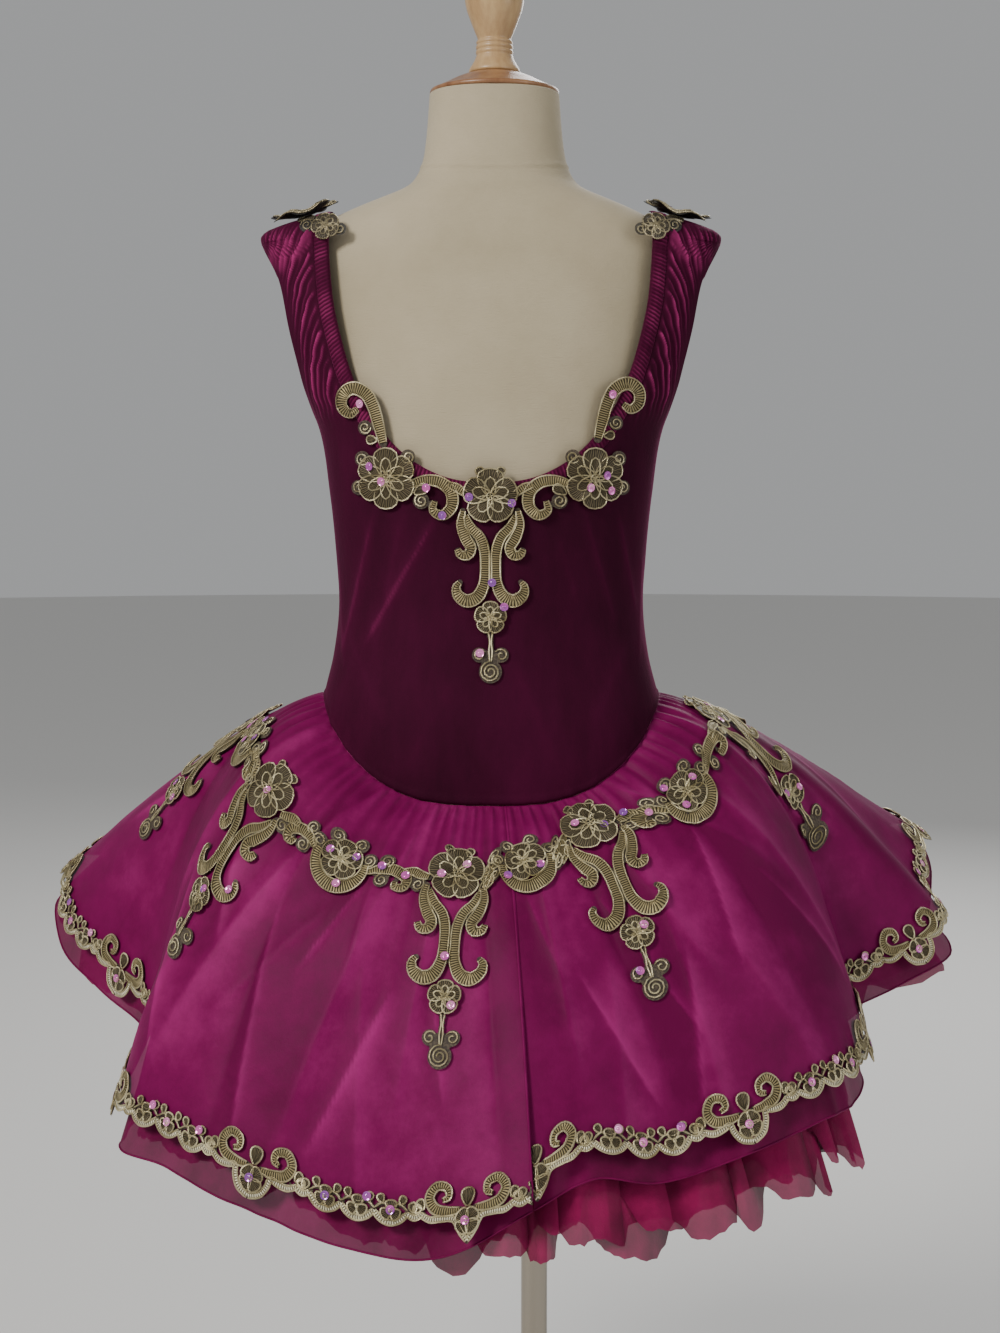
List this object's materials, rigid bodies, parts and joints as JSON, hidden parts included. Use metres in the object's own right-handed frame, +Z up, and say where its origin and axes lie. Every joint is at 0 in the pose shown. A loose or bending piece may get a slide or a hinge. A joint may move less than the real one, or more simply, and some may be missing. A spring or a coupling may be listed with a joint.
{
  "type": "ballet tutu costume on a dress form",
  "caption": "Child's velvet ballet bodice with a dropped waist and a gold-laced organza skirt over tulle, worn by a limbless linen dress form on a round stand.",
  "frame": {"origin": "on the floor under the dress form's centre line, in the plane of the stand's underside", "axes": "+Z up; the costume's back faces -Y and its front faces +Y; +X is to the right as seen from the back"},
  "size_m": [0.6665, 0.5175, 1.2573],
  "materials": {
    "linen": "matte",
    "wood": "satin",
    "chrome": "polished",
    "velvet": "matte",
    "elastic_band": "matte",
    "organza": "satin",
    "tulle": "matte",
    "gold_lace": "satin",
    "black_lace": "satin",
    "sequin": "gloss"
  },
  "bodies": {
    "root": {"form_torso": "linen", "form_neck_cap": "wood", "form_finial": "wood", "stand_pole": "chrome", "stand_base": "chrome", "bodice_back": "velvet", "bodice_front": "velvet", "neck_band_back": "elastic_band", "neck_band_front": "elastic_band", "overskirt_left": "organza", "overskirt_right": "organza", "underskirt_left": "organza", "underskirt_right": "organza", "tulle_left": "tulle", "tulle_right": "tulle", "hem_trim_left": "gold_lace", "hem_trim_right": "gold_lace", "neck_lace": "gold_lace", "pendant_1": "gold_lace", "pendant_2": "gold_lace", "pendant_3": "gold_lace", "pendant_4": "gold_lace", "pendant_5": "gold_lace", "pendant_6": "gold_lace", "pendant_7": "gold_lace", "pendant_8": "gold_lace", "rosette_1": "gold_lace", "rosette_2": "gold_lace", "rosette_3": "gold_lace", "rosette_4": "gold_lace", "rosette_5": "gold_lace", "rosette_6": "gold_lace", "rosette_7": "gold_lace", "rosette_8": "gold_lace", "scroll_1": "gold_lace", "scroll_2": "gold_lace", "scroll_3": "gold_lace", "scroll_4": "gold_lace", "scroll_5": "gold_lace", "scroll_6": "gold_lace", "scroll_7": "gold_lace", "scroll_8": "gold_lace", "scroll_9": "gold_lace", "scroll_10": "gold_lace", "scroll_11": "gold_lace", "scroll_12": "gold_lace", "scroll_13": "gold_lace", "scroll_14": "gold_lace", "scroll_15": "gold_lace", "scroll_16": "gold_lace", "shoulder_lace_left": "black_lace", "shoulder_lace_right": "black_lace"}
  },
  "joints": []
}
